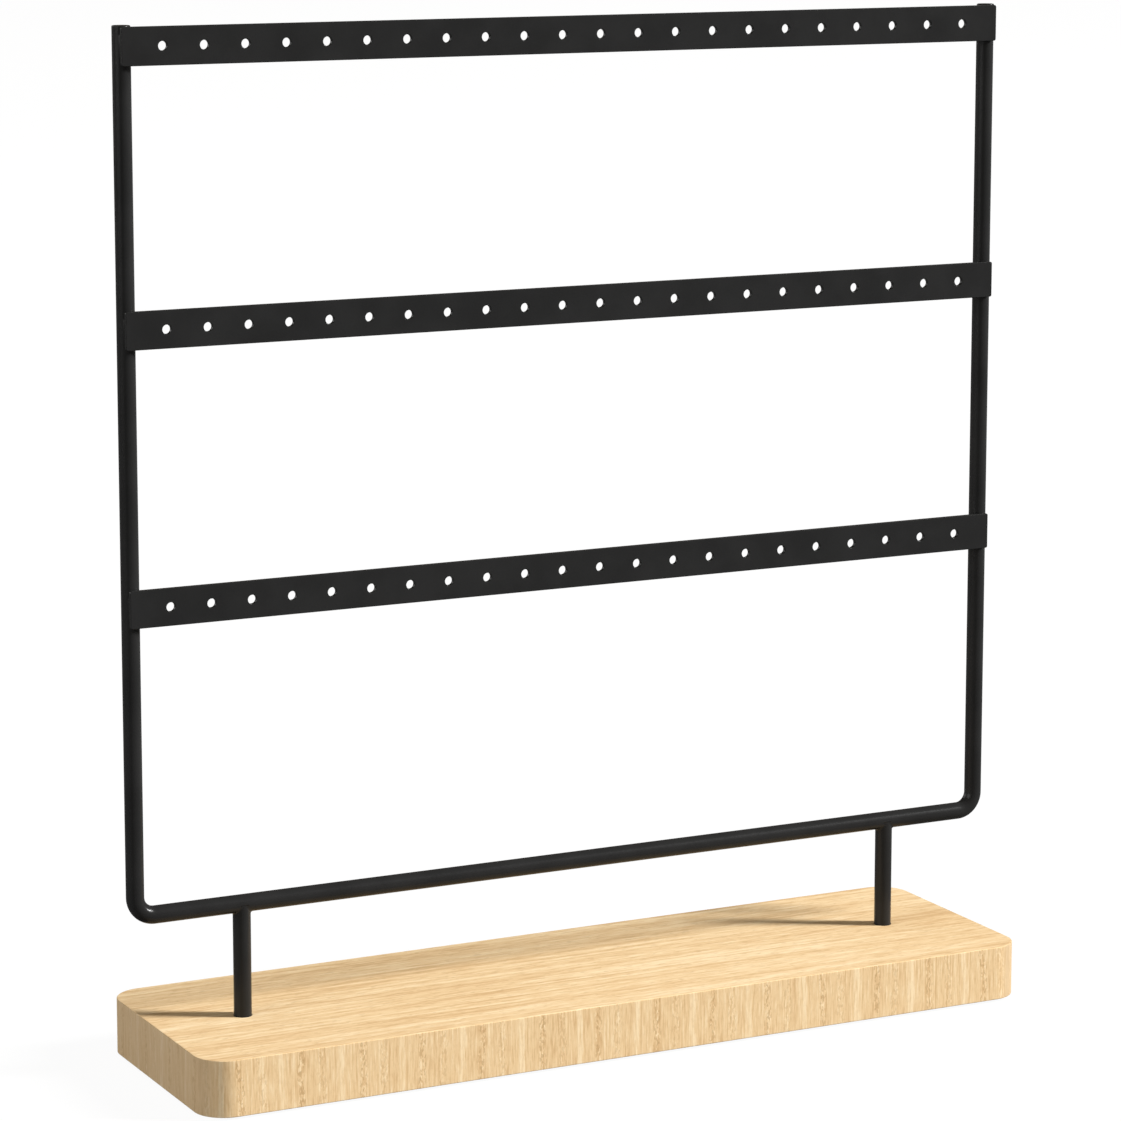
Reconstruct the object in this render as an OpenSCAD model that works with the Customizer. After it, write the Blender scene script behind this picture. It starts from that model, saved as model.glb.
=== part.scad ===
// Earring display stand. A rod bent into a U carries three perforated
// strips and stands on two posts on a wooden board.
// Lengths are in millimetres. X runs along the board from left to right,
// Y from front to back and Z up. The origin is on the table, under the
// middle of the board.

/* [Overall] */
// Height of the whole stand
stand_h = 319.2; // [260:0.1:380]
// Width of the frame over the outsides of its two uprights
frame_w = 301; // [270:1:360]

/* [Board] */
// How far the board's end stops short of the frame's outer side
board_setback = 8.5; // [0:0.5:20]
// Depth of the board from front to back
board_depth = 82; // [60:1:120]
// Thickness of the board
board_t = 17.4; // [14:0.2:24]
// Radius of the board's upright corners
board_corner_r = 10; // [4:0.5:20]
// Radius to which the board's other edges are eased
board_edge_r = 0.3; // [0.2:0.1:2]

/* [Frame] */
// Diameter of the frame's rod
rod_d = 5.5; // [4:0.5:8]
// Centre-line radius of the frame's two bends
bend_r = 6; // [5:0.5:25]
// Height of the frame's bottom bar above the board, to the bar's axis
bar_height = 35; // [20:1:60]
// How far the uprights' ends stand above the top strip
rod_rise = 0.3; // [0:0.1:2]

/* [Posts] */
// Diameter of the two posts
post_d = 5.5; // [5:0.5:8]
// Distance from the frame's outer side to the axis of the nearer post
post_inset = 37; // [32:0.5:90]
// How far a post's hollowed end reaches up round the bottom bar
cope_depth = 1.3; // [0.5:0.1:1.8]
// Depth of the socket in the board that takes a post
socket_depth = 5; // [3:0.5:6]
// Gap all round a post in its socket
socket_gap = 0.1; // [0.05:0.05:0.5]

/* [Strips] */
// Height of a perforated strip
strip_h = 11.4; // [8:0.2:16]
// Thickness of a strip
strip_t = 1.5; // [1:0.1:2.5]
// How far a strip's end stops short of the upright's outer side
strip_setback = 1.25; // [0:0.05:2]
// Radius of a strip's four corners
strip_corner_r = 0.6; // [0.2:0.1:2]
// Distance from one row of holes to the next
row_spacing = 82.8; // [40:0.2:100]

/* [Holes] */
// Diameter of a hook hole
hole_d = 2.8; // [2:0.1:4]
// Distance from one hook hole to the next
hole_pitch = 13; // [8:0.5:20]
// Least distance from a strip's end to the axis of its first hole
hole_margin = 10; // [9:0.5:20]

/* [Screws] */
// Thread diameter of the screw that holds a post
screw_d = 3; // [2.5:0.5:3.5]
// How far a screw reaches into its post
screw_reach = 8.1; // [5:0.1:12]
// Depth of the thread in a post beyond the screw's end
thread_spare = 2; // [0.5:0.5:4]
// Gap all round a screw in its thread
thread_gap = 0.05; // [0.02:0.01:0.1]
// Gap all round a screw in its hole through the board
screw_gap = 0.2; // [0.1:0.1:0.5]
// Diameter of a screw's pan head
head_d = 5.6; // [5:0.2:7]
// Height of a screw's pan head
head_h = 2.2; // [1.8:0.1:3]
// Radius of the domed face of the head
head_dome_r = 5.6; // [4:0.2:12]
// Length of each arm pair of the cross recess
recess_len = 3; // [2:0.1:3.5]
// Width of the arms of the cross recess
recess_w = 0.7; // [0.4:0.1:1]
// Depth of the cross recess
recess_depth = 1.3; // [0.6:0.1:1.6]

/* [Washers] */
// Outer diameter of the washer under a screw's head
washer_d = 7; // [7:0.5:10]
// Thickness of the washer
washer_t = 0.5; // [0.4:0.1:1.5]
// Gap all round a screw in its washer
washer_gap = 0.1; // [0.05:0.05:0.5]
// Depth of the counterbore that hides a screw's head and its washer
counterbore_depth = 5; // [4.5:0.5:6]
// Gap all round a washer in its counterbore
counterbore_gap = 0.75; // [0.25:0.25:2]

/* [Pads] */
// Diameter of an anti-slip pad
pad_d = 12; // [8:1:16]
// Thickness of a pad
pad_t = 1; // [0.5:0.5:4]
// Distance from the board's sides to a pad's axis
pad_inset = 14; // [10:1:25]

/* [Hidden] */
$fn = 48;

steel = [0.17, 0.17, 0.18];
cut_over = 1;
left = -1;
right = 1;
front = -1;
back = 1;

// Heights above the table
board_top = pad_t + board_t;
socket_z = board_top - socket_depth;
seat_z = pad_t + counterbore_depth;
bar_z = board_top + bar_height;
top_row_z = stand_h - rod_rise - strip_h / 2;
middle_row_z = top_row_z - row_spacing;
bottom_row_z = middle_row_z - row_spacing;

// The board, which is a little shorter than the frame is wide
board_len = frame_w - 2 * board_setback;

// The frame's bends and straights
rod_x = (frame_w - rod_d) / 2;
bend_x = rod_x - bend_r;
bend_z = bar_z + bend_r;
post_x = frame_w / 2 - post_inset;
post_top = bar_z - rod_d / 2 + cope_depth;

// The strips and their rows of holes, which stay clear of the uprights
strip_len = frame_w - 2 * strip_setback;
hole_count = floor((strip_len - 2 * hole_margin) / hole_pitch) + 1;
first_hole_x = -(hole_count - 1) * hole_pitch / 2;

// The screws run from the washers up into the posts
screw_z = seat_z - washer_t;
screw_len = socket_z - screw_z + screw_reach;
thread_depth = screw_reach + thread_spare;

// A flat outline with four round corners, centred on the origin
module rounded_rect(w, h, r) {
    square([w - 2 * r, h], center = true);
    square([w, h - 2 * r], center = true);
    for (x = [-1, 1], y = [-1, 1])
        translate([x * (w / 2 - r), y * (h / 2 - r)])
            circle(r);
}

// The board's corner, turned about its own axis with eased edges
module board_corner() {
    rotate_extrude()
        intersection() {
            rounded_rect(2 * board_corner_r, board_t, board_edge_r);
            translate([0, -board_t / 2])
                square([board_corner_r, board_t]);
        }
}

// The solid board before it is drilled
module board_blank() {
    rotate([90, 0, 90])
        linear_extrude(board_len - 2 * board_corner_r, center = true)
            rounded_rect(board_depth, board_t, board_edge_r);
    rotate([90, 0, 0])
        linear_extrude(board_depth - 2 * board_corner_r, center = true)
            rounded_rect(board_len, board_t, board_edge_r);
    for (x = [left, right], y = [front, back])
        translate([x * (board_len / 2 - board_corner_r), y * (board_depth / 2 - board_corner_r), 0])
            board_corner();
}

// What is drilled for one post: its socket, the screw's hole and the counterbore
module post_drilling() {
    translate([0, 0, socket_z])
        cylinder(d = post_d + 2 * socket_gap, h = socket_depth + cut_over);
    cylinder(d = screw_d + 2 * screw_gap, h = board_top);
    translate([0, 0, pad_t - cut_over])
        cylinder(d = washer_d + 2 * counterbore_gap, h = counterbore_depth + cut_over);
}

module base_board() {
    color("burlywood")
        difference() {
            translate([0, 0, pad_t + board_t / 2])
                board_blank();
            for (x = [left, right])
                translate([x * post_x, 0, 0])
                    post_drilling();
        }
}

// One upright of the frame and the bend below it, on the right-hand side
module upright_and_bend() {
    translate([rod_x, 0, bend_z])
        cylinder(d = rod_d, h = stand_h - bend_z);
    translate([bend_x, 0, bend_z])
        rotate([90, 0, 0])
            rotate([0, 0, -90])
                rotate_extrude(angle = 90)
                    translate([bend_r, 0])
                        circle(d = rod_d);
}

module frame_rod() {
    color(steel) {
        upright_and_bend();
        mirror([1, 0, 0])
            upright_and_bend();
        translate([0, 0, bar_z])
            rotate([0, 90, 0])
                cylinder(d = rod_d, h = 2 * bend_x, center = true);
    }
}

// A strip with its row of hook holes, its back against the uprights
module strip(row_z) {
    color(steel)
        translate([0, -rod_d / 2, row_z])
            rotate([90, 0, 0])
                difference() {
                    linear_extrude(strip_t)
                        rounded_rect(strip_len, strip_h, strip_corner_r);
                    for (i = [0 : hole_count - 1])
                        translate([first_hole_x + i * hole_pitch, 0, -cut_over])
                            cylinder(d = hole_d, h = strip_t + 2 * cut_over);
                }
}

// A post with its top end hollowed to the bar and its bottom end threaded
module post(side) {
    color(steel)
        translate([side * post_x, 0, 0])
            difference() {
                translate([0, 0, socket_z])
                    cylinder(d = post_d, h = post_top - socket_z);
                translate([0, 0, bar_z])
                    rotate([0, 90, 0])
                        cylinder(d = rod_d, h = 2 * post_d, center = true);
                translate([0, 0, socket_z - cut_over])
                    cylinder(d = screw_d, h = thread_depth + cut_over);
            }
}

// The domed pan head below the screw's bearing face
module screw_head() {
    translate([0, 0, -head_h])
        intersection() {
            cylinder(d = head_d, h = head_h);
            translate([0, 0, head_dome_r])
                sphere(head_dome_r);
        }
}

module screw(side) {
    color("silver")
        translate([side * post_x, 0, screw_z])
            difference() {
                union() {
                    cylinder(d = screw_d - 2 * thread_gap, h = screw_len);
                    screw_head();
                }
                for (turn = [0, 90])
                    rotate([0, 0, turn])
                        translate([-recess_len / 2, -recess_w / 2, -head_h - cut_over])
                            cube([recess_len, recess_w, recess_depth + cut_over]);
            }
}

module washer(side) {
    color("silver")
        translate([side * post_x, 0, screw_z])
            difference() {
                cylinder(d = washer_d, h = washer_t);
                translate([0, 0, -cut_over])
                    cylinder(d = screw_d + 2 * washer_gap, h = washer_t + 2 * cut_over);
            }
}

module pad(side, end) {
    color("dimgray")
        translate([side * (board_len / 2 - pad_inset), end * (board_depth / 2 - pad_inset), 0])
            cylinder(d = pad_d, h = pad_t);
}

base_board();
frame_rod();
strip(top_row_z);  // top_strip
strip(middle_row_z);  // middle_strip
strip(bottom_row_z);  // bottom_strip
post(left);  // left_post
post(right);  // right_post
screw(left);  // left_screw
screw(right);  // right_screw
washer(left);  // left_washer
washer(right);  // right_washer
pad(left, front);  // front_left_pad
pad(right, front);  // front_right_pad
pad(left, back);  // back_left_pad
pad(right, back);  // back_right_pad
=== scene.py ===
import math

import bpy
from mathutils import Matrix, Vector


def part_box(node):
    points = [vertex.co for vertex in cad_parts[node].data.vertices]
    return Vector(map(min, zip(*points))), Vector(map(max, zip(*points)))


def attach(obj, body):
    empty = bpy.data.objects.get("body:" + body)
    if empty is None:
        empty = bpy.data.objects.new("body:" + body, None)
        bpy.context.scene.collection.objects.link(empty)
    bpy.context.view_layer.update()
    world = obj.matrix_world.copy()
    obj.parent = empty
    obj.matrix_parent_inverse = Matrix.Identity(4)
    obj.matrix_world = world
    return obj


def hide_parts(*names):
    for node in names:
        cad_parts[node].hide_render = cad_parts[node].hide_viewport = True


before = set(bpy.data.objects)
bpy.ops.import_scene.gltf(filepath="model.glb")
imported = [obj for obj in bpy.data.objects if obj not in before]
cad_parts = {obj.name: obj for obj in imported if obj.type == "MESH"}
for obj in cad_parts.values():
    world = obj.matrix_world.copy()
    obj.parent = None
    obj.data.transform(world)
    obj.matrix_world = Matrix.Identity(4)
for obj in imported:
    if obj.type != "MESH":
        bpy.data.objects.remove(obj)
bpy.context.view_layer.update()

mm = 0.001  # the scene is in metres
cutOver = 1 * mm  # how far a drill or punch reaches past what it cuts
closeEnough = 0.01 * mm  # corners that are nearer than this count as level
softenedAngle = math.radians(50)  # an edge that turns more than this gets rounded
smoothAngle = math.radians(35)  # an edge that turns less than this is shaded smooth


# Small helpers for modelling

def selectOnly(piece):
    bpy.ops.object.select_all(action="DESELECT")
    piece.select_set(True)
    bpy.context.view_layer.objects.active = piece


def takeNew(name):
    # The object that the last operator added, with its place moved into its mesh
    piece = bpy.context.object
    piece.name = name
    piece.data.name = name
    selectOnly(piece)
    bpy.ops.object.transform_apply(location=True, rotation=True, scale=True)
    return piece


def addBlock(name, low, high):
    bpy.ops.mesh.primitive_cube_add(size=1, location=(low + high) / 2, scale=high - low)
    return takeNew(name)


def addRod(name, radius, start, end, sides):
    # A round bar between two points
    along = end - start
    turn = along.to_track_quat("Z", "Y").to_euler()
    bpy.ops.mesh.primitive_cylinder_add(vertices=sides, radius=radius, depth=along.length,
                                        location=(start + end) / 2, rotation=turn)
    return takeNew(name)


def copyPiece(piece, name, move):
    selectOnly(piece)
    bpy.ops.object.duplicate()
    bpy.ops.transform.translate(value=move)
    return takeNew(name)


def pick(piece, kind, wanted):
    # Edit mode with only the wanted edges or faces selected; wanted reads their corners
    selectOnly(piece)
    bpy.ops.object.mode_set(mode="EDIT")
    bpy.ops.mesh.select_mode(type=kind)
    bpy.ops.mesh.select_all(action="DESELECT")
    bpy.ops.object.mode_set(mode="OBJECT")
    mesh = piece.data
    parts = mesh.edges if kind == "EDGE" else mesh.polygons
    for part in parts:
        part.select = wanted([mesh.vertices[i].co for i in part.vertices])
    bpy.ops.object.mode_set(mode="EDIT")


def leaveEdit():
    bpy.ops.object.mode_set(mode="OBJECT")


def pull(x=0.0, y=0.0, z=0.0):
    # Draws what is selected out into new faces
    bpy.ops.mesh.extrude_region_move(TRANSFORM_OT_translate={"value": (x, y, z)})


def applyModifier(piece, kind, **settings):
    selectOnly(piece)
    modifier = piece.modifiers.new(kind.lower(), kind)
    for key, value in settings.items():
        setattr(modifier, key, value)
    bpy.ops.object.modifier_apply(modifier=modifier.name)


def cutAway(piece, cutter):
    applyModifier(piece, "BOOLEAN", operation="DIFFERENCE", solver="EXACT", object=cutter)
    bpy.data.meshes.remove(cutter.data)


def softenEdges(piece, width, steps):
    # Rounds every edge that is still sharp
    applyModifier(piece, "BEVEL", limit_method="ANGLE", angle_limit=softenedAngle,
                  width=width, segments=steps, profile=0.5)


def shadeSmooth(piece):
    selectOnly(piece)
    bpy.ops.object.shade_smooth_by_angle(angle=smoothAngle)
    applyModifier(piece, "WEIGHTED_NORMAL", keep_sharp=True, weight=90)


def install(piece, material, slot, *nodes):
    # The piece gets its finish and stands for its CAD nodes, if it has any
    piece.data.materials.clear()
    piece.data.materials.append(material)
    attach(piece, "root")
    if nodes:
        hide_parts(*nodes)


def level(value):
    # A test for corners that all lie at one height
    return lambda corners: all(abs(c.z - value) < closeEnough for c in corners)


def runsAlong(axis):
    # A test for edges that run along "x", "y" or "z"
    return lambda corners: abs(getattr(corners[0] - corners[1], axis)) > closeEnough


# Shader maths: a socket with the sums that are written on it

class Wire:
    def __init__(self, paint, socket):
        self.paint = paint
        self.socket = socket

    def maths(self, operation, *values):
        return self.paint.add("Math", {"operation": operation}, dict(enumerate((self, *values))))

    def __add__(self, other):
        return self.maths("ADD", other)

    def __mul__(self, other):
        return self.maths("MULTIPLY", other)

    def __sub__(self, other):
        return self.maths("SUBTRACT", other)

    def __rsub__(self, other):
        return self.paint.add("Math", {"operation": "SUBTRACT"}, {0: other, 1: self})

    def __abs__(self):
        return self.maths("ABSOLUTE")

    __radd__ = __add__

    def band(self, low, high):
        # 0 below low, 1 above high and smooth between them
        return self.paint.add("MapRange", {"interpolation_type": "SMOOTHSTEP"},
                              {"Value": self, "From Min": low, "From Max": high})


class Paint:
    def __init__(self, owner):
        # The owner is a new material or world
        owner.use_nodes = True
        self.owner = owner
        self.tree = owner.node_tree

    def add(self, kind, settings=None, sockets=None, output=0):
        # A new node with its settings and what goes into it; gives back one of its outputs
        node = self.tree.nodes.new("ShaderNode" + kind)
        for key, value in (settings or {}).items():
            setattr(node, key, value)
        self.feed(node, sockets or {})
        return Wire(self, node.outputs[output])

    def feed(self, node, sockets):
        for key, value in sockets.items():
            if isinstance(value, Wire):
                self.tree.links.new(value.socket, node.inputs[key])
            else:
                node.inputs[key].default_value = value

    def shader(self, sockets):
        # What goes into the material's main shader
        self.feed(self.tree.nodes["Principled BSDF"], sockets)

    def axis(self, vector, name):
        return self.add("SeparateXYZ", {}, {0: vector}, output=name)

    def place(self):
        return self.add("TexCoord", output="Object")

    def lumps(self, size, detail=2.0, roughness=0.5, shift=0.0, twist=0.0):
        # Noise round 0, about a quarter either way, with lumps of size = (x, y, z) metres
        spread = self.add("Mapping", {}, {"Vector": self.place(), "Location": (shift,) * 3,
                                          "Scale": tuple(1 / s for s in size)})
        return self.add("TexNoise", {}, {"Vector": spread, "Scale": 1.0, "Detail": detail,
                                         "Roughness": roughness, "Distortion": twist}) - 0.5

    def mix(self, factor, first, second, blend="MIX"):
        return self.add("Mix", {"data_type": "RGBA", "blend_type": blend},
                        {0: factor, 6: first, 7: second}, output=2)

    def bump(self, height, look):
        return self.add("Bump", {}, {"Height": height, "Distance": look["bumpDepth"],
                                     "Strength": look["bumpStrength"]})


def newMaterial(name):
    return Paint(bpy.data.materials.new(name))


def colour(red, green, blue):
    # A screen colour, 0 to 255, through the sRGB curve to the linear one that a socket takes
    linear = [(v / 255 / 12.92) if v < 11 else ((v / 255 + 0.055) / 1.055) ** 2.4
              for v in (red, green, blue)]
    return (*linear, 1.0)


# Pale wood: long streaks over the top and underside, upright ones round the sides

woodLook = {
    "cream": colour(246, 222, 182),
    "body": colour(233, 202, 156),
    "tan": colour(216, 180, 133),
    "fleck": colour(184, 147, 101),
    # The two ends are darker: partly end grain, partly painted shade over the front corners.
    "endGrainAndShade": colour(219, 220, 225),  # what the two ends keep of the colour
    "endCalm": 0.4,  # what the ends lose of the sides' pattern

    # How far a corner faces its end, 0 to 1, where that end's darker grain and painted shade start
    # and where they are full.
    # Both were fitted to the photograph's shading of the two front corners, so the painted shade
    # starts further round the left corner than round the right.
    "leftGrainAndShadeTurn": (0.5, 0.95),
    "rightGrainAndShadeTurn": (0.04, 0.5),

    # Sheen and relief
    "roughness": 0.66,
    "grainRoughness": 0.1,
    "specular": 0.04,
    "bumpDepth": 0.04 * mm,
    "bumpStrength": 0.4,
    "fleckBump": 0.8,

    # How much each layer of the grain lightens or darkens the wood
    "topWide": 0.8,
    "topStreak": 1.8,
    "topFibre": 1.8,
    "sideWide": 0.35,
    "sideStreak": 1.2,
    "sideFibre": 1.6,

    # The marks that the sides repeat with each stave, by place and the cosine where they fade out
    "staveWidth": 19.83 * mm,
    "staveWander": 3 * mm,  # how far the marks stray sideways
    "fleckColumn": (8.5 * mm, 0.89),
    "faintColumn": (15.3 * mm, 0.85),
    "creamLine": (1.8 * mm, 0.92),
    "markPeak": 0.99,  # the cosine where every mark is full
    "creamTone": 0.3,  # how much the cream line is lighter
    "columnShade": 0.18,  # how much the fleck column is darker
    "palePatches": {"column": 0.4, "faint": 0.25},  # how light they are in the two columns
    "flecks": {"column": 0.45, "faint": 0.2, "between": 0.1, "top": 0.25},  # how dark they are
}


def makeWood():
    paint = newMaterial("paleWood")
    facing = paint.add("NewGeometry", output="Normal")
    flat = abs(paint.axis(facing, "Z")).band(0.6, 0.85)  # 1 on the top and underside
    across = paint.axis(facing, "X")
    # Masks of the two ends, which carry end grain and painted shade; the right one dims the lit
    # right corner.
    leftGrainAndShade = (0 - across).band(*woodLook["leftGrainAndShadeTurn"])
    rightGrainAndShade = across.band(*woodLook["rightGrainAndShadeTurn"])
    end = leftGrainAndShade + rightGrainAndShade  # 1 on both ends

    # Top and underside, whose streaks run along the board and wander a little
    topWide = paint.lumps((120 * mm, 9 * mm, 40 * mm), shift=3.1)
    topStreak = paint.lumps((110 * mm, 2.3 * mm, 20 * mm), detail=4, roughness=0.55, twist=0.2)
    topFibre = paint.lumps((8 * mm, 0.85 * mm, 9 * mm), detail=3, roughness=0.65, shift=7.7)
    topPore = paint.lumps((3 * mm, 0.9 * mm, 5 * mm), detail=1, shift=1.9).band(0.09, 0.2)
    topTone = (0.51 + topWide * woodLook["topWide"] + topStreak * woodLook["topStreak"]
               + topFibre * woodLook["topFibre"])

    # Sides, with flecks and cream lines at the same places of each stave
    stray = paint.lumps((25 * mm, 25 * mm, 14 * mm), detail=1, shift=4.4)
    place = paint.place()
    turn = 2 * math.pi / woodLook["staveWidth"]
    around = (paint.axis(place, "X") - paint.axis(place, "Y")
              + stray * woodLook["staveWander"]) * turn

    def stripe(mark):
        middle, fadeOut = woodLook[mark]
        return (around - middle * turn).maths("COSINE").band(fadeOut, woodLook["markPeak"])

    column = stripe("fleckColumn")
    creamLine = stripe("creamLine")
    faint = stripe("faintColumn")
    sideWide = paint.lumps((5 * mm, 5 * mm, 160 * mm), shift=5.3)
    sideStreak = paint.lumps((1.1 * mm, 1.1 * mm, 150 * mm), detail=3, roughness=0.75, shift=2.2)
    sideFibre = paint.lumps((0.6 * mm, 0.6 * mm, 7 * mm), detail=2, shift=8.4)
    sidePore = paint.lumps((0.5 * mm, 0.5 * mm, 1.3 * mm), detail=1, shift=6.6).band(0.0, 0.14)
    pale = paint.lumps((0.6 * mm, 0.6 * mm, 2 * mm), detail=1, shift=9.2, twist=0.8)
    pale = pale.band(0.02, 0.12)
    calm = 1 - end * woodLook["endCalm"]
    patches = woodLook["palePatches"]
    marks = (creamLine * woodLook["creamTone"]
             + pale * (column * patches["column"] + faint * patches["faint"])
             - column * woodLook["columnShade"])
    sideTone = 0.5 + (sideWide * woodLook["sideWide"] + sideStreak * woodLook["sideStreak"]
                      + sideFibre * woodLook["sideFibre"] + marks) * calm
    flecks = woodLook["flecks"]
    sideFleck = sidePore * (column * flecks["column"] + faint * flecks["faint"]
                            + flecks["between"]) * calm

    # Both patterns together, and from their tone the colour, the sheen and the relief
    tone = sideTone + (topTone - sideTone) * flat
    fleck = sideFleck + (topPore * flecks["top"] - sideFleck) * flat
    wood = paint.mix(tone.band(0.05, 0.55), woodLook["tan"], woodLook["body"])
    wood = paint.mix(tone.band(0.5, 1.05), wood, woodLook["cream"])
    wood = paint.mix(fleck, wood, woodLook["fleck"])
    # Darker ends: partly end grain, partly painted shade round the corners that turn towards them.
    wood = paint.mix(end, wood, woodLook["endGrainAndShade"], blend="MULTIPLY")
    paint.shader({
        "Base Color": wood,
        "Roughness": woodLook["roughness"] + (0.5 - tone) * woodLook["grainRoughness"],
        "Specular IOR Level": woodLook["specular"],
        "Normal": paint.bump(tone - fleck * woodLook["fleckBump"], woodLook),
    })
    return paint.owner


# Black powder coat over steel: a fine orange-peel skin with a low sheen

coatLook = {
    "dark": colour(35, 35, 35),
    "light": colour(42, 42, 42),
    "cloudShare": 0.7,  # of the colour's unevenness; the grit has the rest
    "roughness": 0.24,
    "peelRoughness": 0.1,
    "specular": 0.13,
    "bumpDepth": 0.008 * mm,
    "bumpStrength": 0.5,
    "peelShare": 0.7,  # of the relief; the grit has the rest
}


def makeCoat():
    paint = newMaterial("blackCoat")
    cloud = paint.lumps((14 * mm,) * 3, detail=3)
    peel = paint.lumps((0.9 * mm,) * 3, shift=2.5)
    grit = paint.lumps((0.25 * mm,) * 3, detail=1, shift=9.1)
    cloudShare = coatLook["cloudShare"]
    peelShare = coatLook["peelShare"]
    tone = cloud.band(-0.2, 0.2) * cloudShare + grit.band(-0.15, 0.15) * (1 - cloudShare)
    paint.shader({
        "Base Color": paint.mix(tone, coatLook["dark"], coatLook["light"]),
        "Roughness": coatLook["roughness"] + peel * coatLook["peelRoughness"],
        "Specular IOR Level": coatLook["specular"],
        "Normal": paint.bump(peel * peelShare + grit * (1 - peelShare), coatLook),
    })
    return paint.owner


# Bright zinc on the screws and washers

zincLook = {
    "bright": colour(205, 207, 205),
    "dull": colour(168, 170, 166),
    "roughness": 0.3,
    "stainRoughness": 0.14,
    "scratchRoughness": 0.08,
    "bumpDepth": 0.01 * mm,
    "bumpStrength": 0.4,
}


def makeZinc():
    paint = newMaterial("zinc")
    stain = paint.lumps((1.6 * mm,) * 3, detail=3).band(-0.15, 0.2)
    scratch = paint.lumps((0.12 * mm, 1.5 * mm, 0.12 * mm), shift=3.7)
    paint.shader({
        "Base Color": paint.mix(stain, zincLook["bright"], zincLook["dull"]),
        "Metallic": 1.0,
        "Roughness": (zincLook["roughness"] + stain * zincLook["stainRoughness"]
                      + scratch * zincLook["scratchRoughness"]),
        "Normal": paint.bump(scratch, zincLook),
    })
    return paint.owner


# Dark anti-slip foam

foamLook = {
    "dark": colour(48, 48, 47),
    "light": colour(74, 74, 72),
    "leastTone": 0.1,
    "cellTone": 0.8,
    "dustTone": 0.4,
    "roughness": 0.85,
    "cellRoughness": 0.15,
    "bumpDepth": 0.06 * mm,
    "bumpStrength": 0.8,
}


def makeFoam():
    paint = newMaterial("padFoam")
    cell = paint.lumps((0.35 * mm,) * 3)
    dust = paint.lumps((3 * mm,) * 3, shift=5.5)
    tone = (cell.band(-0.15, 0.2) * foamLook["cellTone"] + dust * foamLook["dustTone"]
            + foamLook["leastTone"])
    paint.shader({
        "Base Color": paint.mix(tone, foamLook["dark"], foamLook["light"]),
        "Roughness": foamLook["roughness"] + cell * foamLook["cellRoughness"],
        "Normal": paint.bump(cell, foamLook),
    })
    return paint.owner


print("finishes")
paleWood = makeWood()
blackCoat = makeCoat()
zinc = makeZinc()
padFoam = makeFoam()


# The posts' places, which the board's drillings share

postPlaces = {side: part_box(side + "_post") for side in ("left", "right")}


def postAxis(side):
    low, high = postPlaces[side]
    return (low.x + high.x) / 2


# The board

boardShape = {
    "cornerRadius": 10 * mm,
    "cornerSteps": 24,
    "edgeRadius": 0.3 * mm,
    "edgeSteps": 5,
    "socketRadius": 2.85 * mm,
    "screwHoleRadius": 1.7 * mm,
    "counterboreRadius": 4.25 * mm,
    "counterboreDepth": 5 * mm,
    "boreSides": 64,
    "rimSoftness": 0.15 * mm,
    "rimSteps": 2,
}


def makeBoard():
    low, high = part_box("base_board")
    board = addBlock("woodenBoard", low, high)

    # Its upright corners are rounded and its other edges eased
    pick(board, "EDGE", runsAlong("z"))
    bpy.ops.mesh.bevel(offset=boardShape["cornerRadius"], segments=boardShape["cornerSteps"],
                       affect="EDGES")
    leaveEdit()
    for height in (low.z, high.z):
        pick(board, "EDGE", level(height))
        bpy.ops.mesh.bevel(offset=boardShape["edgeRadius"], segments=boardShape["edgeSteps"],
                           affect="EDGES")
        leaveEdit()

    # Each post has a socket, a screw hole and a counterbore
    for side in postPlaces:
        x = postAxis(side)
        foot = postPlaces[side][0].z
        below = low.z - cutOver
        seat = low.z + boardShape["counterboreDepth"]
        bores = [(boardShape["socketRadius"], foot, high.z + cutOver),
                 (boardShape["screwHoleRadius"], below, high.z),
                 (boardShape["counterboreRadius"], below, seat)]
        for radius, bottom, top in bores:
            drill = addRod("drill", radius, Vector((x, 0, bottom)), Vector((x, 0, top)),
                           boardShape["boreSides"])
            cutAway(board, drill)
    softenEdges(board, boardShape["rimSoftness"], boardShape["rimSteps"])
    shadeSmooth(board)
    install(board, paleWood, "board_wood", "base_board")


print("board")
makeBoard()


# The rod that is bent into the frame

rodShape = {
    "diameter": 5.5 * mm,
    "bendRadius": 6 * mm,  # of the rod's centre line
    "sides": 64,
    "bendSteps": 24,
    "endSoftness": 0.35 * mm,
    "endSteps": 4,
    "mergeDistance": 0.001 * mm,
}

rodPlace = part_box("frame_rod")
rodRadius = rodShape["diameter"] / 2
uprightX = rodPlace[1].x - rodRadius  # from the middle to an upright's axis
barZ = rodPlace[0].z + rodRadius


def bendRound(x, z):
    # Draws the ring a quarter turn round a bend's centre
    bpy.ops.mesh.spin(steps=rodShape["bendSteps"], angle=math.pi / 2, center=(x, 0, z),
                      axis=(0, 1, 0))


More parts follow.
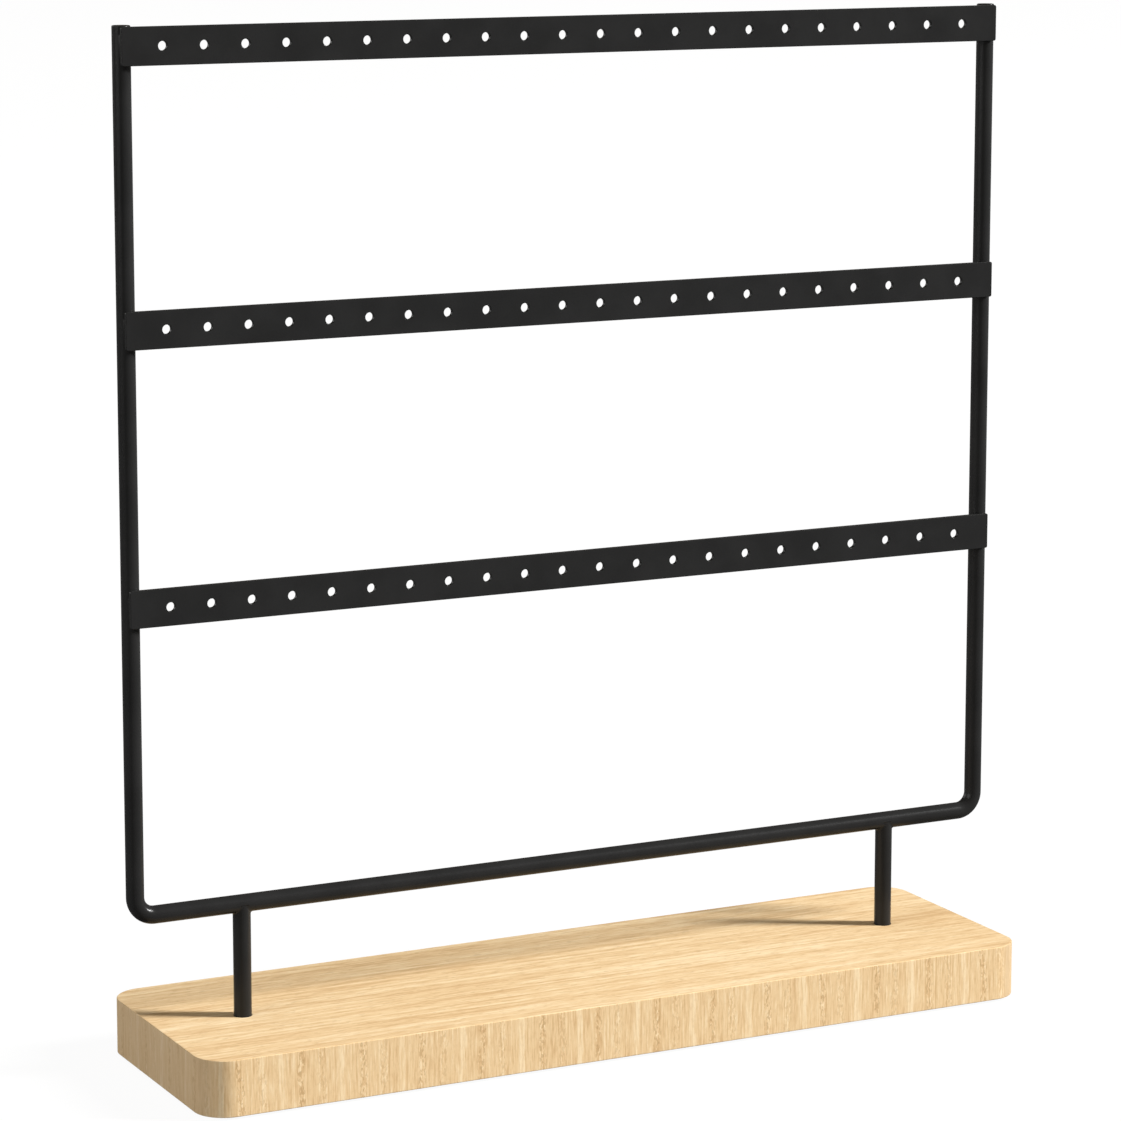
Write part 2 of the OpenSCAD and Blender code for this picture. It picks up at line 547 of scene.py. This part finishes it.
def makeFrameRod():
    top = rodPlace[1].z
    bend = rodShape["bendRadius"]
    bendX = uprightX - bend
    bendZ = barZ + bend

    # A ring at the top of the left upright is drawn down, round and up again
    bpy.ops.mesh.primitive_circle_add(vertices=rodShape["sides"], radius=rodRadius,
                                      location=(-uprightX, 0, top))
    rod = takeNew("bentRod")
    bpy.ops.object.mode_set(mode="EDIT")
    bpy.ops.mesh.select_all(action="SELECT")
    pull(z=bendZ - top)
    bendRound(-bendX, bendZ)
    pull(x=2 * bendX)
    bendRound(bendX, bendZ)
    pull(z=top - bendZ)
    leaveEdit()

    # The sawn ends are closed, and the coat rounds their rims
    for side in (-1, 1):
        pick(rod, "EDGE", lambda corners: level(top)(corners) and side * corners[0].x > 0)
        bpy.ops.mesh.edge_face_add()
        leaveEdit()
    pick(rod, "EDGE", level(top))
    bpy.ops.mesh.bevel(offset=rodShape["endSoftness"], segments=rodShape["endSteps"],
                       affect="EDGES")
    bpy.ops.mesh.select_all(action="SELECT")
    bpy.ops.mesh.remove_doubles(threshold=rodShape["mergeDistance"])
    bpy.ops.mesh.normals_make_consistent(inside=False)
    leaveEdit()
    shadeSmooth(rod)
    install(rod, blackCoat, "black_coat", "frame_rod")


print("bent rod")
makeFrameRod()


# The perforated strips

stripShape = {
    "rows": ("top", "middle", "bottom"),
    "cornerRadius": 0.6 * mm,
    "cornerSteps": 5,
    "holeRadius": 1.4 * mm,
    "holeSides": 40,
    "holePitch": 13 * mm,
    "holeCount": 22,
    "edgeSoftness": 0.2 * mm,
    "edgeSteps": 3,
}

stripPlaces = {row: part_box(row + "_strip") for row in stripShape["rows"]}


def makeStrips():
    low, high = stripPlaces["top"]
    strip = addBlock("topPerforatedStrip", low, high)
    pick(strip, "EDGE", runsAlong("y"))
    bpy.ops.mesh.bevel(offset=stripShape["cornerRadius"], segments=stripShape["cornerSteps"],
                       affect="EDGES")
    leaveEdit()

    # One punch for the first hole is repeated along the row
    pitch = stripShape["holePitch"]
    firstX = -(stripShape["holeCount"] - 1) * pitch / 2
    middle = (low.z + high.z) / 2
    start = Vector((firstX, low.y - cutOver, middle))
    end = Vector((firstX, high.y + cutOver, middle))
    punch = addRod("punch", stripShape["holeRadius"], start, end, stripShape["holeSides"])
    applyModifier(punch, "ARRAY", count=stripShape["holeCount"], use_relative_offset=False,
                  use_constant_offset=True, constant_offset_displace=(pitch, 0, 0))
    cutAway(strip, punch)
    softenEdges(strip, stripShape["edgeSoftness"], stripShape["edgeSteps"])
    shadeSmooth(strip)

    # The other rows are copies, lowered into their places
    strips = {"top": strip}
    for row in stripShape["rows"][1:]:
        drop = stripPlaces[row][0].z - low.z
        strips[row] = copyPiece(strip, row + "PerforatedStrip", (0, 0, drop))
    for row, piece in strips.items():
        install(piece, blackCoat, "black_coat", row + "_strip")


print("perforated strips")
makeStrips()


# The welds that fill the two wedges between an upright and the back of each strip

weldShape = {
    "length": 8.6 * mm,
    "endShare": 0.12,  # how much of the length each end tapers over
    "endWidth": 0.55,  # what an end keeps of the width
    "endDepth": 0.97,  # and of the distance from the upright's axis
    "width": 1.35 * mm,  # from the line of contact out along the strip
    "rise": math.radians(38),  # how far the weld climbs round the upright
    "sink": 0.12 * mm,  # how deep it is buried in the strip and the rod
    "kneeShare": 0.72,  # the face is hollow towards a point at this share of the width
    "kneeHeight": 0.05 * mm,  # and this far off the strip
    "steps": 6,
}


def weldOutline():
    # Half the outline, from the strip's back to the upright, round the upright's axis
    wide = weldShape["width"]
    touch = (rodRadius * math.sin(weldShape["rise"]), -rodRadius * math.cos(weldShape["rise"]))
    knee = (wide * weldShape["kneeShare"], -rodRadius + weldShape["kneeHeight"])
    half = [(wide, -rodRadius - weldShape["sink"])]
    for step in range(weldShape["steps"] + 1):
        t = step / weldShape["steps"]
        half.append(tuple((1 - t) ** 2 * a + 2 * t * (1 - t) * b + t ** 2 * c
                          for a, b, c in zip((wide, -rodRadius), knee, touch)))
    deep = 1 - weldShape["sink"] / rodRadius
    half.append((touch[0] * deep, touch[1] * deep))
    return half


def makeFirstWeld(name, place):
    half = weldOutline()
    ring = half + [(-across, y) for across, y in reversed(half)]
    length = weldShape["length"]
    taper = weldShape["endShare"] * length
    narrow, shallow = weldShape["endWidth"], weldShape["endDepth"]

    # The narrow bottom end is a circle whose corners are moved onto the outline
    bottom = place.z - length / 2
    bpy.ops.mesh.primitive_circle_add(vertices=len(ring), fill_type="NGON",
                                      location=(place.x, 0, bottom))
    weld = takeNew(name)
    for corner, (across, y) in zip(weld.data.vertices, ring):
        corner.co = (place.x + across * narrow, y * shallow, bottom)

    # It is drawn up, widened, drawn along the strip and narrowed again
    pick(weld, "FACE", lambda corners: True)
    pull(z=taper)
    bpy.ops.transform.resize(value=(1 / narrow, 1 / shallow, 1), center_override=place)
    pull(z=length - 2 * taper)
    pull(z=taper)
    bpy.ops.transform.resize(value=(narrow, shallow, 1), center_override=place)
    bpy.ops.mesh.select_all(action="SELECT")
    bpy.ops.mesh.normals_make_consistent(inside=False)
    leaveEdit()
    shadeSmooth(weld)
    return weld


def makeWelds():
    first = None
    for row in stripShape["rows"]:
        low, high = stripPlaces[row]
        for side, x in (("Left", -uprightX), ("Right", uprightX)):
            name = row + side + "Weld"
            place = Vector((x, 0, (low.z + high.z) / 2))
            if first is None:
                weld = first = makeFirstWeld(name, place)
                firstPlace = place
            else:
                weld = copyPiece(first, name, place - firstPlace)
            install(weld, blackCoat, "black_coat")


print("welds")
makeWelds()


# The posts, whose tops are hollowed to the bar and welded round it

postShape = {
    "diameter": 5.5 * mm,
    "sides": 64,
    "weld": 0.7 * mm,  # radius of the hollow weld under the bar
    "leastWeld": 0.05,  # the share of it that is left at the post's front and back
    "weldSteps": 8,
    "boreRadius": 1.5 * mm,
    "boreDepth": 10.1 * mm,
    "boreSides": 32,
}


def makePost(side):
    radius = postShape["diameter"] / 2
    foot = postPlaces[side][0].z
    x = postAxis(side)
    neck = barZ - rodRadius - 2 * postShape["weld"]
    bpy.ops.mesh.primitive_circle_add(vertices=postShape["sides"], radius=radius, fill_type="NGON",
                                      location=(x, 0, foot))
    post = takeNew(side + "SteelPost")
    bpy.ops.object.mode_set(mode="EDIT")
    bpy.ops.mesh.select_all(action="SELECT")
    pull(z=neck - foot)
    ringStep = 1 * mm  # the weld's rings start evenly spaced, so that each can be told apart
    for step in range(postShape["weldSteps"] + 1):
        pull(z=ringStep)
    bpy.ops.mesh.select_all(action="SELECT")
    bpy.ops.mesh.normals_make_consistent(inside=False)
    leaveEdit()

    # The rings above the neck follow the bar's round underside, widening into the weld
    for corner in post.data.vertices:
        ring = round((corner.co.z - neck) / ringStep) - 1
        if ring < 0:
            continue
        angle = math.atan2(corner.co.y, corner.co.x - x)
        size = postShape["weld"] * max(abs(math.cos(angle)), postShape["leastWeld"])
        turn = ring / postShape["weldSteps"] * math.pi / 2
        reach = radius + size * (1 - math.cos(turn))
        y = reach * math.sin(angle)
        rise = math.sqrt(max(rodRadius ** 2 - y ** 2, 0))
        corner.co = (x + reach * math.cos(angle), y, barZ - rise - size * (1 - math.sin(turn)))
    bore = addRod("tap", postShape["boreRadius"], Vector((x, 0, foot - cutOver)),
                  Vector((x, 0, foot + postShape["boreDepth"])), postShape["boreSides"])
    cutAway(post, bore)
    shadeSmooth(post)
    install(post, blackCoat, "black_coat", side + "_post")


print("posts")
for side in postPlaces:
    makePost(side)


# The pads under the board

padShape = {
    "sides": 64,
    "edgeSoftness": 0.3 * mm,
    "edgeSteps": 4,
}


def makePads():
    for node in ("front_left_pad", "front_right_pad", "back_left_pad", "back_right_pad"):
        low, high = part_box(node)
        middle = (low + high) / 2
        words = node.split("_")
        name = words[0] + "".join(w.title() for w in words[1:])
        pad = addRod(name, (high.x - low.x) / 2, Vector((middle.x, middle.y, low.z)),
                     Vector((middle.x, middle.y, high.z)), padShape["sides"])
        softenEdges(pad, padShape["edgeSoftness"], padShape["edgeSteps"])
        shadeSmooth(pad)
        install(pad, padFoam, "pad", node)


print("pads")
makePads()


# The screws and washers keep their CAD shapes

print("screws and washers")
for side in postPlaces:
    for fastener in ("_screw", "_washer"):
        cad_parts[side + fastener].material_slots[0].material = zinc


# The studio: a pale floor, a tall softbox on the right in two halves, and weak fills

studio = {
    "floorSize": 60,
    "floorColour": (0.18, 0.18, 0.18, 1),
    "floorShade": (0.06, 0.06, 0.06, 1),  # what the camera sees of the floor's own colour
    "floorGlow": 0.95,
    "skyColour": (1, 0.85, 0.66, 1),
    "skyLight": 0.1,
    "backdrop": (1, 1, 1, 1),  # what the camera sees of the sky
    "keySide": math.radians(-29),  # from the board's length towards the front
    "keyDistance": 10,
    "keySize": (1.4, 1.8),  # width and height of one half
    "keyHalves": {"upper": (math.radians(36), 690),  # angle above the floor, and power
                  "lower": (math.radians(25.7), 1170)},
    "fills": {"left": (Vector((-0.96, -0.22, 0.16)), 1.95),
              "back": (Vector((-0.6, 0.78, 0.16)), 0.9)},
    "fillAngle": math.radians(45),
}


def seenOnly(paint, plain, glowing, output):
    # The camera sees the glowing shader, and the plain one lights the object
    seen = paint.add("LightPath", output="Is Camera Ray")
    both = paint.add("MixShader", {}, {0: seen, 1: plain, 2: glowing})
    paint.feed(paint.tree.nodes[output], {"Surface": both})


def makeFloor():
    bpy.ops.mesh.primitive_plane_add(size=studio["floorSize"], location=(0, 0, 0))
    floor = takeNew("floor")
    paint = newMaterial("paleFloor")
    matt = paint.add("BsdfDiffuse", {}, {"Color": studio["floorColour"]})
    shade = paint.add("BsdfDiffuse", {}, {"Color": studio["floorShade"]})
    glow = paint.add("Emission", {}, {"Strength": studio["floorGlow"]})
    both = paint.add("AddShader", {}, {0: shade, 1: glow})
    seenOnly(paint, matt, both, "Material Output")
    floor.data.materials.append(paint.owner)


def makeSky():
    paint = Paint(bpy.data.worlds.new("studioWhite"))
    bpy.context.scene.world = paint.owner
    plain = paint.add("Background", {}, {"Color": studio["skyColour"],
                                         "Strength": studio["skyLight"]})
    white = paint.add("Background", {}, {"Color": studio["backdrop"]})
    seenOnly(paint, plain, white, "World Output")


def addLight(kind, name, comesFrom, distance, strength):
    bpy.ops.object.light_add(type=kind, location=comesFrom * distance,
                             rotation=comesFrom.to_track_quat("Z", "Y").to_euler())
    lamp = bpy.context.object
    lamp.name = name
    lamp.data.energy = strength
    return lamp.data


def addLights():
    for half, (rise, power) in studio["keyHalves"].items():
        side = studio["keySide"]
        reach = math.cos(rise)
        comesFrom = Vector((math.cos(side) * reach, math.sin(side) * reach, math.sin(rise)))
        key = addLight("AREA", half + "Key", comesFrom, studio["keyDistance"], power)
        key.shape = "RECTANGLE"
        key.size, key.size_y = studio["keySize"]
    for side, (comesFrom, strength) in studio["fills"].items():
        fill = addLight("SUN", side + "Fill", comesFrom, 1, strength)
        fill.angle = studio["fillAngle"]


print("studio")
makeFloor()
makeSky()
addLights()


# The camera, at the photograph's viewpoint

cameraView = {
    "place": (-0.56041, -1.09901, 0.38021),
    "turn": (1.4168, 0, -0.4652),
    "lens": 129.19,  # in millimetres, as is the sensor's width
    "sensorWidth": 36,
    "shift": (0.00894, -0.1110),
    "farthest": 100,
}


def makeCamera():
    bpy.ops.object.camera_add(location=cameraView["place"], rotation=cameraView["turn"])
    camera = bpy.context.object
    camera.name = "photographView"
    camera.data.lens = cameraView["lens"]
    camera.data.sensor_width = cameraView["sensorWidth"]
    camera.data.shift_x, camera.data.shift_y = cameraView["shift"]
    camera.data.clip_end = cameraView["farthest"]
    bpy.context.scene.camera = camera
    bpy.context.scene.view_settings.view_transform = "Standard"


print("camera")
makeCamera()
